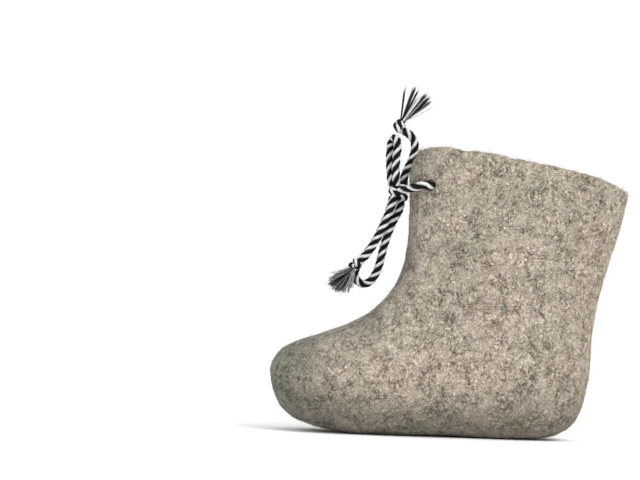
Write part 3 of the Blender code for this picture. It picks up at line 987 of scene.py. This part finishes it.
def lay_cord(name: str, route: Sequence[Sequence[float]], make: CordMake, phase: float,
             ) -> tuple[bpy.types.Object, np.ndarray]:
    """Twists one stretch of cord along a route.

    Args:
        name: The new object's name.
        route: The points that the cord's middle passes.
        make: How the cord is laid.
        phase: Where round the cord the first strand starts, in radians.

    Returns:
        The cord's closed mesh, and the line that its middle follows.
    """
    line = smooth_line(np.array([tuple(point) for point in route]), make.step)
    first, second = carried_frames(line)
    outline = make.outline()
    around = len(outline)
    along = lengths_along(line)
    base = np.arange(around) / around * 2 * math.pi
    turns = base[None, :] + (along / make.full_turn * 2 * math.pi + phase)[:, None]
    rings = line[:, None] + outline[None, :, None] * (
        first[:, None] * np.cos(turns)[:, :, None] + second[:, None] * np.sin(turns)[:, :, None]
    )
    ends = []
    for index, inner in ((0, 1), (-1, -2)):
        out = line[index] - line[inner]
        ring = line[[index]] + make.end_width * (rings[index] - line[index])
        ends.append(ring + make.diameter * make.end_bulge * out / np.linalg.norm(out))
    rows = np.concatenate((ends[0][None], rings, ends[1][None]))
    last = (len(rows) - 1) * around
    faces = [tuple(range(around))[::-1], *ring_faces(len(rows), around), tuple(range(last, last + around))]
    cord = mesh_piece(name, rows.reshape(-1, 3), faces)
    mark_strands(cord, along, make)
    return cord, line


def from_knot(offsets: Sequence[Point]) -> list[Vector]:
    """Turns millimetres from the bow's knot into places."""
    return [KNOT + Vector(offset) * MM for offset in offsets]


def tucked(point: Sequence[float]) -> Point:
    """The place inside the bow's knot where a cord that leaves it at a point starts."""
    return tuple(0.42 * value for value in point)


def ring_route(centre: Vector, axis: Vector, radius: float, lean: float, rise: float, start: float,
               ) -> list[Vector]:
    """The way of a cord that is wrapped once and a bit round a bundle, its two ends tucked in.

    Args:
        centre: The middle of the wrap.
        axis: The direction of the bundle.
        radius: How far the cord's middle runs from the bundle's.
        lean: How steeply the wrap slopes across the camera's side; up to the left is positive.
        rise: How far the wrap sits along the axis.
        start: The direction of the first tucked end, in degrees.

    Returns:
        The points of the wrap.
    """
    up = axis.normalized()
    across = Vector((0, 1, 0)).cross(up).normalized()
    deep = up.cross(across).normalized()
    steps = 14
    turns = 1.15
    pitch = 0.0012
    route = []
    for index in range(steps + 1):
        turn = math.radians(start + 360 * turns * index / steps)
        tuck = 0.45 if index in (0, steps) else 1.0
        side = across * math.cos(turn) * radius * tuck + deep * math.sin(turn) * radius * tuck
        climb = rise - lean * side.dot(across) + pitch * (index / steps - 0.5)
        route.append(centre + side + up * climb)
    return route


def climbing_route(centre: Vector, axis: Vector, radius: float, low: float, high: float, turns: float,
                   ) -> list[Vector]:
    """The way of a cord that winds up round its own end, from the right across the camera's side.

    Args:
        centre: The middle of the knot.
        axis: The direction in which the cord's end leaves the knot.
        radius: How far the cord's middle runs from the axis.
        low: Where it starts along the axis, in millimetres.
        high: Where it ends along the axis, in millimetres.
        turns: How many turns it makes.

    Returns:
        The points of the winding, both ends tucked in.
    """
    across = Vector((0, 1, 0)).cross(axis).normalized()
    steps = round(12 * turns)
    route = []
    for index in range(steps + 1):
        share = index / steps
        turn = 2 * math.pi * turns * share
        reach = radius * (0.4 if index in (0, steps) else 1.0)
        side = across * math.cos(turn) * reach + Vector((0, -1, 0)) * math.sin(turn) * reach
        route.append(centre + side + axis * (low + (high - low) * share) * MM)
    return route


@dataclass
class BowTie:
    """The cord that closes the slit: its crossing, its knot, two loops and two ends with their tassels.

    Routes and end knots are in millimetres from the bow's knot. A winding starts and ends so many
    millimetres along the cord's end, and makes so many turns.
    """

    make: CordMake = CordMake()
    crossing: tuple[Point, ...] = (
        (2.08, -6.63, 0.55), (6.63, -14.05, 1.95), (10.69, -19.96, 3.00), (13.97, -22.65, 4.20),
        (17.30, -21.57, 4.20), (20.32, -20.60, 4.20), (23.34, -19.62, 4.20), (25.24, -19.00, 4.20),
        (28.74, -10.45, 4.20), (29.24, 0.00, 4.20),
    )
    loop_routes: dict[Side, tuple[Point, ...]] = field(default_factory=lambda: {
        Side.UPPER: (
            (-1.5, -3.4, 5.5), (-2.3, -4.4, 11.0), (-2.4, -4.8, 17.5), (-2.0, -4.7, 23.5),
            (-1.8, -4.4, 27.8), (-2.3, -3.0, 31.2), (-3.7, 0.1, 32.8), (-5.2, 3.1, 31.2),
            (-6.0, 4.5, 27.8), (-6.2, 4.6, 23.0), (-6.0, 4.3, 17.5), (-5.4, 3.5, 11.0),
            (-4.4, 2.6, 4.9),
        ),
        Side.LOWER: (
            (1.7, 2.5, -6.2), (0.8, 1.4, -11.5), (-2.6, 0.2, -18.5), (-5.1, 0.0, -25.0),
            (-7.3, 0.2, -32.5), (-8.8, 0.8, -39.0), (-10.0, 1.6, -45.0), (-11.6, 2.3, -50.2),
            (-14.3, 2.9, -55.0), (-18.3, 3.4, -57.8), (-22.2, 3.6, -57.0), (-24.6, 3.7, -53.6),
            (-24.6, 3.8, -49.0), (-22.4, 3.8, -44.4), (-18.9, 3.8, -39.8), (-15.0, 3.8, -34.2),
            (-11.4, 3.8, -27.5), (-8.2, 3.7, -20.0), (-5.5, 3.4, -13.0), (-3.7, 2.8, -5.1),
        ),
    })
    end_routes: dict[Side, tuple[Point, ...]] = field(default_factory=lambda: {
        Side.UPPER: (
            (3.0, 1.3, 5.3), (3.2, 1.1, 9.3), (4.6, 0.8, 13.6), (6.7, 0.5, 18.0), (8.3, 0.2, 23.0),
            (8.9, 0.0, 27.8), (8.1, -0.1, 32.0), (5.6, -0.3, 35.1), (2.3, -0.4, 37.0),
        ),
        Side.LOWER: (
            (-2.7, -3.1, -5.1), (-4.8, -3.8, -11.5), (-7.3, -4.0, -18.5), (-10.3, -4.0, -25.5),
            (-14.1, -4.0, -33.0), (-18.0, -4.0, -39.3), (-21.5, -4.1, -43.0),
        ),
    })
    end_knots: dict[Side, Point] = field(default_factory=lambda: {
        Side.UPPER: (-1.3, -0.4, 40.3), Side.LOWER: (-24.9, -4.2, -46.4),
    })
    end_windings: dict[Side, tuple[float, float, float]] = field(default_factory=lambda: {
        Side.UPPER: (-2.3, 2.2, 1.5), Side.LOWER: (-2.9, 2.6, 1.15),
    })
    tassel_leans: dict[Side, float] = field(default_factory=lambda: {
        Side.UPPER: math.radians(32), Side.LOWER: math.radians(216),
    })

    def dress(self, piece: bpy.types.Object, node: str, finish: bpy.types.Material,
              ) -> None:
        """Gives a piece its finish and its body, and hides the CAD solid that it stands for.

        Args:
            piece: The new piece.
            node: The CAD node that it replaces.
            finish: Its material.
        """
        piece.data.materials.append(finish)
        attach(piece, "root")
        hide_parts(node)
        log.info("%s: %d faces", piece.name, len(piece.data.polygons))

    def lay_crossing(self, finish: bpy.types.Material) -> None:
        """Lays the stretch through both eyelets, which the boot holds all the way.

        Args:
            finish: The cord's material.
        """
        near = list(self.crossing)
        far = [(x, -y, z) for x, y, z in reversed(near[:-1])]
        tail = (0.3, 3.2, -0.4)
        inside_knot = (0.3, -3.2, -0.4)
        slack = CordMake(full_turn=0.0215)
        cord, _ = lay_cord("tie_crossing", from_knot([inside_knot, *near, *far, tail]), slack, 0.6)
        self.dress(cord, "lace_bar", finish)

    def tie_knot(self, finish: bpy.types.Material) -> None:
        """Wraps the bow's knot: two tight turns round the bundle and a short lap across its front.

        Args:
            finish: The cord's material.
        """
        tight = CordMake(diameter=0.0045, full_turn=0.0125)
        upright = Vector((0.08, 0, 1)).normalized()
        low = ring_route(KNOT, upright, radius=0.0041, lean=0.42, rise=-0.0017, start=80)
        high = ring_route(KNOT, upright, radius=0.0038, lean=-0.30, rise=0.0022, start=130)
        bundle = from_knot([(-0.6, 0.4, -5.0), (-0.4, 0.2, 0.0), (-0.8, 0.4, 5.0)])
        wraps = [
            lay_cord("knot_wrap_low", low, tight, 0.3)[0],
            lay_cord("knot_wrap_high", high, tight, 1.9)[0],
            lay_cord("knot_bundle", bundle, self.make, 0.9)[0],
        ]
        self.dress(join_pieces(wraps, "tie_knot"), "bow_knot", finish)

    def tie_end_knot(self, side: Side, finish: bpy.types.Material) -> bpy.types.Object:
        """Ties the overhand knot that keeps one end from fraying further.

        Args:
            side: Which half of the bow.
            finish: The cord's material.

        Returns:
            The knot.
        """
        tight = CordMake(diameter=0.0040, full_turn=0.0125)
        centre = from_knot([self.end_knots[side]])[0]
        lean = self.tassel_leans[side]
        axis = Vector((math.sin(lean), 0, math.cos(lean)))
        winding = climbing_route(centre, axis, 0.0018, *self.end_windings[side])
        core = [centre + axis * reach * MM for reach in (-2.0, 0.0, 4.2)]
        wraps = [lay_cord("end_wrap", winding, tight, 0.4)[0], lay_cord("end_core", core, tight, 2.0)[0]]
        knot = join_pieces(wraps, f"tie_end_knot_{side.value}")
        self.dress(knot, f"end_knot_{side.value}", finish)
        return knot

    def lay_loop(self, side: Side, finish: bpy.types.Material) -> None:
        """Lays one of the bow's loops.

        Args:
            side: Which half of the bow.
            finish: The cord's material.
        """
        points = self.loop_routes[side]
        route = from_knot([tucked(points[0]), *points, tucked(points[-1])])
        cord, line = lay_cord(f"tie_loop_{side.value}", route, self.make, 1.2)
        self.dress(cord, f"loop_{side.value}", finish)

    def lay_end(self, side: Side, finish: bpy.types.Material, threads: bpy.types.Material) -> None:
        """Lays one of the bow's ends with its end knot and its tassel.

        Args:
            side: Which half of the bow.
            finish: The cord's material.
            threads: The tassel's material.
        """
        points = self.end_routes[side]
        inside = tuple(0.7 * knot + 0.3 * last for knot, last in zip(self.end_knots[side], points[-1]))
        route = from_knot([tucked(points[0]), *points, inside])
        cord, line = lay_cord(f"tie_end_{side.value}", route, self.make, 2.1)
        self.dress(cord, f"end_{side.value}", finish)
        end_knot = self.tie_end_knot(side, finish)
        knot_place = from_knot([self.end_knots[side]])[0]
        tassel = Tassel.of(side, knot_place, self.tassel_leans[side]).spread_out()
        self.dress(tassel, f"tassel_{side.value}", threads)

    def build(self) -> None:
        """Lays the whole tie."""
        yarn = TwistedYarn().material()
        threads = TasselThreads().material()
        for side in Side:
            self.lay_loop(side, yarn)
            self.lay_end(side, yarn, threads)
        self.lay_crossing(yarn)
        self.tie_knot(yarn)


@dataclass(frozen=True)
class Lock:
    """Some threads of a tassel that lie close together, with their lean and its spread in degrees."""

    lean: float
    count: int
    shade: float
    length: float
    spread: float


@dataclass
class Tassel:
    """The frayed threads past an end knot."""

    name: str
    root: Vector
    lean: float
    locks: tuple[Lock, ...]
    thickness: float
    wave: float
    depth: float
    seed: int

    @classmethod
    def of(cls, side: Side, knot: Vector, lean: float) -> "Tassel":
        """The tassel of one half of the bow, with the locks that the photograph shows.

        Args:
            side: Which half of the bow.
            knot: The middle of the end knot.
            lean: The tassel's direction, from straight up towards the heel, in radians.

        Returns:
            The tassel, not yet built.
        """
        past_knot = 0.0034
        root = knot + Vector((math.sin(lean), 0, math.cos(lean))) * past_knot
        if side is Side.UPPER:
            locks = (
                Lock(-26.7, 2, 0.04, 0.0246, 0.4), Lock(-12.9, 7, 0.02, 0.0256, 1.1),
                Lock(-7.0, 5, 0.05, 0.0247, 0.8), Lock(-0.6, 11, 0.90, 0.0220, 2.6),
                Lock(6.0, 7, 0.03, 0.0258, 0.9), Lock(12.0, 12, 0.04, 0.0256, 1.8),
                Lock(17.4, 9, 0.06, 0.0248, 1.2), Lock(25.9, 2, 0.70, 0.0254, 0.5),
            )
            return cls("tie_tassel_upper", root, lean, locks,
                       thickness=0.00043, wave=0.0004, depth=0.10, seed=3)
        locks = (
            Lock(-30, 7, 0.45, 0.0140, 3.0), Lock(-21, 11, 0.36, 0.0174, 3.0),
            Lock(-11, 14, 0.20, 0.0188, 3.0), Lock(-2, 18, 0.07, 0.0198, 3.0),
            Lock(7, 18, 0.05, 0.0202, 3.0), Lock(16, 16, 0.07, 0.0196, 3.0),
            Lock(26, 12, 0.25, 0.0182, 3.5), Lock(38, 5, 0.60, 0.0158, 3.5),
        )
        return cls("tie_tassel_lower", root, lean, locks,
                   thickness=0.00036, wave=0.0011, depth=0.16, seed=5)

    def thread(self, lock: Lock, shares: np.ndarray, rng: np.random.Generator) -> list[Vector]:
        """Bends one thread of a lock.

        Args:
            lock: The lock that it lies in.
            shares: Where along the thread its points are, from 0 to 1.
            rng: The source of chance.

        Returns:
            The thread's points.
        """
        lean = self.lean + math.radians(lock.lean + rng.normal(0, lock.spread))
        depth = rng.normal(0, self.depth)
        way = Vector((math.sin(lean), depth, math.cos(lean))).normalized()
        side = Vector((math.cos(lean), 0, -math.sin(lean)))
        length = lock.length * rng.uniform(0.88, 1.0)
        start = self.root + side * (lock.lean / 25 * 0.0010) + Vector((0, depth * 0.008, 0))
        bend = rng.normal(0, self.wave)
        wave = rng.normal(0, self.wave * 0.3)
        phase = rng.uniform(0, 6)
        hidden = 0.0012
        points = []
        for share in shares:
            sway = bend * share * share + wave * (math.sin(6 * share + phase) - math.sin(phase))
            points.append(start + way * (length * share - hidden) + side * sway)
        return points

    def spread_out(self) -> bpy.types.Object:
        """Makes all threads as one mesh of closed tapering tubes.

        Returns:
            The tassel.
        """
        rng = np.random.default_rng(self.seed)
        lines, radii, shades = [], [], []
        shares = np.linspace(0, 1, 9)
        for lock in self.locks:
            for _ in range(lock.count):
                lines.append([tuple(point) for point in self.thread(lock, shares, rng)])
                radii.append(self.thickness * rng.uniform(0.75, 1.2) * (1 - 0.35 * shares**3))
                shades.append(float(np.clip(rng.normal(lock.shade, 0.14), 0, 1)))
        points, faces = many_tubes(np.array(lines), np.array(radii), 6)
        tassel = mesh_piece(self.name, points, faces)
        face_values(tassel, "shade", np.repeat(np.array(shades), len(faces) // len(shades)))
        return tassel


# The felt


@dataclass
class FeltBody:
    """The felted boot: its solid's shape remeshed evenly and pushed into the soft unevenness of wool.

    The collar's edge runs from front_height at front_x to back_height at back_x, raised by side_rise
    between them. In the rim's zone, rim_depth below the edge, it is waved, sunk at the sides and lifted
    at the back.
    """

    voxel: float = 0.00145
    smoothing: int = 12
    swell: float = 0.0009
    swell_size: float = 0.030
    lump: float = 0.00045
    lump_size: float = 0.0085
    rim_wave: float = 0.00060
    rim_wave_size: float = 0.013
    rim_ripple_size: float = 0.0055
    rim_ripple_share: float = 0.6
    rim_sink: float = 0.0007
    rim_lift: float = 0.0016
    rim_depth: float = 0.012
    front_height: float = 0.177
    back_height: float = 0.153
    front_x: float = -0.0219
    back_x: float = 0.1086
    side_rise: float = 0.0072
    floor_band: float = 0.0006

    def back_share(self, rows: np.ndarray) -> np.ndarray:
        """How far back along the collar each point is, from 0 at its front to 1 at its back."""
        return np.clip((rows[:, 0] - self.front_x) / (self.back_x - self.front_x), 0, 1)

    def rim_share(self, rows: np.ndarray) -> np.ndarray:
        """How near each point is to the collar's edge, from 0 to 1.

        Args:
            rows: The points.

        Returns:
            One share for each point.
        """
        run = self.back_share(rows)
        edge = self.front_height + (self.back_height - self.front_height) * run
        edge = edge + self.side_rise * np.sin(run * math.pi) ** 1.5
        share = np.clip((rows[:, 2] - edge + self.rim_depth) / self.rim_depth, 0, 1)
        return share * share * (3 - 2 * share)

    def push(self, rows: np.ndarray, normals: np.ndarray) -> np.ndarray:
        """Moves the points into soft swells, small lumps and an uneven collar edge.

        Args:
            rows: The points.
            normals: The unit normals there.

        Returns:
            The moved points.
        """
        outwards = np.empty(len(rows))
        wave = np.empty(len(rows))
        other_part = Vector((7, 3, 1))
        for index, (x, y, z) in enumerate(rows):
            place = Vector((x, y, z))
            level = Vector((x, y, 0))
            outwards[index] = self.swell * noise.noise(place / self.swell_size)
            outwards[index] += self.lump * noise.noise(place / self.lump_size + other_part)
            wave[index] = noise.noise(level / self.rim_wave_size)
            wave[index] += self.rim_ripple_share * noise.noise(level / self.rim_ripple_size)
        made = rows + normals * outwards[:, None]
        run = self.back_share(rows)
        shift = self.rim_lift * run**3 - self.rim_sink * np.sin(run * math.pi) ** 2
        made[:, 2] += (self.rim_wave * wave + shift) * self.rim_share(rows)
        on_floor = rows[:, 2] < self.floor_band
        made[on_floor] = rows[on_floor]
        made[:, 2] = np.maximum(made[:, 2], 0.0)
        return made

    def build(self) -> bpy.types.Object:
        """Makes the felt boot.

        Returns:
            The finished piece.
        """
        piece = copy_of_solid("felt_body", "felt_boot")
        apply_modifier(piece, "REMESH", mode="VOXEL", voxel_size=self.voxel, use_smooth_shade=True)
        apply_modifier(piece, "SMOOTH", factor=0.5, iterations=self.smoothing)
        set_coordinates(piece, self.push(coordinates(piece), point_normals(piece)))
        pick_only(piece)
        bpy.ops.object.shade_smooth()
        piece.data.materials.append(MelangeFelt().material())
        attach(piece, "root")
        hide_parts("felt_body")
        log.info("%s: %d faces", piece.name, len(piece.data.polygons))
        return piece


@dataclass
class WoolNap:
    """Loose wool fibres that lie on the felt and stand a little off it.

    Fibres carry painted shade: they are darker towards the first end of toe_zone and shin_zone, along X,
    and of low_zone, up from the floor. The shin starts shin_foot above the floor.
    """

    name: str
    count: int
    seed: int
    keep: Callable[[np.ndarray], np.ndarray]
    length: Stretch = (0.0012, 0.0040)
    stand: float = 0.42
    thickness: float = 0.00006
    curl: float = 0.9
    scatter: float = 0.0007
    rooted: float = 0.0001
    clear_of_floor: float = 0.0002
    toe_zone: Stretch = (-0.105, -0.055)
    shin_zone: Stretch = (-0.034, -0.016)
    shin_foot: float = 0.066
    low_zone: Stretch = (0.008, 0.036)

    def painted_shade_share(self, rows: np.ndarray) -> np.ndarray:
        """How pale the fibres may be at some points: less over the toe, the shin and the lower edge, as
        painted shade.

        Args:
            rows: The points.

        Returns:
            One share for each point, from 0.5 to 1.
        """
        limits = (0.5, 1.0)
        toe = np.interp(rows[:, 0], self.toe_zone, limits)
        shin = np.where(rows[:, 2] > self.shin_foot, np.interp(rows[:, 0], self.shin_zone, limits), 1.0)
        low = np.interp(rows[:, 2], self.low_zone, limits)
        return np.minimum(np.minimum(toe, shin), low)

    def grow(self, felt: bpy.types.Object, finish: bpy.types.Material) -> bpy.types.Object:
        """Grows the fibres on the felt.

        Args:
            felt: The felt boot.
            finish: The fibres' material.

        Returns:
            All fibres as one mesh of closed, pointed tubes.
        """
        rng = np.random.default_rng(self.seed)
        rows = coordinates(felt)
        normals = point_normals(felt)
        chosen = np.flatnonzero(self.keep(rows))
        roots = rng.choice(chosen, self.count)
        up = normals[roots]
        any_way = rng.normal(size=(self.count, 3))
        flat = any_way - up * np.sum(any_way * up, axis=1, keepdims=True)
        flat /= np.linalg.norm(flat, axis=1, keepdims=True)
        across = np.cross(up, flat)
        length = rng.uniform(*self.length, self.count)[:, None]
        stand = np.abs(rng.normal(0, self.stand, self.count))[:, None]
        bend = rng.normal(0, self.curl, self.count)[:, None]
        aside = rng.uniform(-self.scatter, self.scatter, (self.count, 1))
        base = rows[roots] + flat * aside - up * self.rooted
        points_along = []
        for share in (0.0, 0.33, 0.66, 1.0):
            sideways = across * length * bend * 0.5 * share * share
            upwards = up * length * stand * (share - 0.35 * share * share)
            points_along.append(base + flat * length * share + sideways + upwards)
        lines = np.stack(points_along, axis=1)
        lines[:, :, 2] = np.maximum(lines[:, :, 2], self.clear_of_floor)
        taper = np.array((1.0, 0.9, 0.6, 0.0))[None, :]
        radii = self.thickness * rng.uniform(0.7, 1.3, (self.count, 1)) * taper
        points, faces = many_tubes(lines, radii, 3)
        nap = mesh_piece(self.name, points, faces)
        # Each fibre's own random shade, darkened where shade is painted.
        shade = rng.beta(0.8, 0.6, self.count) * self.painted_shade_share(base)
        face_values(nap, "shade", np.repeat(shade, len(faces) // self.count))
        nap.data.materials.append(finish)
        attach(nap, "root")
        log.info("%s: %d fibres", nap.name, self.count)
        return nap


@dataclass
class Insole:
    """The loose felt sole that lies in the boot."""

    voxel: float = 0.0013
    smoothing: int = 3
    dent: float = 0.00018
    dent_size: float = 0.012

    def build(self) -> bpy.types.Object:
        """Makes the insole.

        Returns:
            The finished piece.
        """
        piece = copy_of_solid("insole", "felt_insole")
        apply_modifier(piece, "REMESH", mode="VOXEL", voxel_size=self.voxel, use_smooth_shade=True)
        apply_modifier(piece, "SMOOTH", factor=0.5, iterations=self.smoothing)
        rows = coordinates(piece)
        normals = point_normals(piece)
        dents = np.array([noise.noise(Vector(row) / self.dent_size) for row in rows]) * self.dent
        set_coordinates(piece, rows + normals * dents[:, None])
        piece.data.materials.append(InsoleFelt().material())
        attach(piece, "root")
        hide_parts("insole")
        log.info("%s: %d faces", piece.name, len(piece.data.polygons))
        return piece


def main() -> None:
    """Builds the camera, the tie, the felt, the insole and the studio."""
    logging.basicConfig(level=logging.INFO, format="%(name)s: %(message)s")
    PhotoCamera().place()
    BowTie().build()
    boot = FeltBody()
    felt = boot.build()
    fibres = LooseFibres().material()
    foot_top = 0.078
    near_edge = 0.8
    for nap in (
        WoolNap("nap_foot", 11500, 11, lambda rows: rows[:, 2] < foot_top),
        WoolNap("nap_shaft", 11500, 12, lambda rows: rows[:, 2] >= foot_top),
        WoolNap("nap_collar", 1400, 13, lambda rows: boot.rim_share(rows) > near_edge,
                length=(0.0010, 0.0032), stand=0.85),
    ):
        nap.grow(felt, fibres)
    Insole().build()
    Studio().build()


if __name__ == "__main__":
    main()
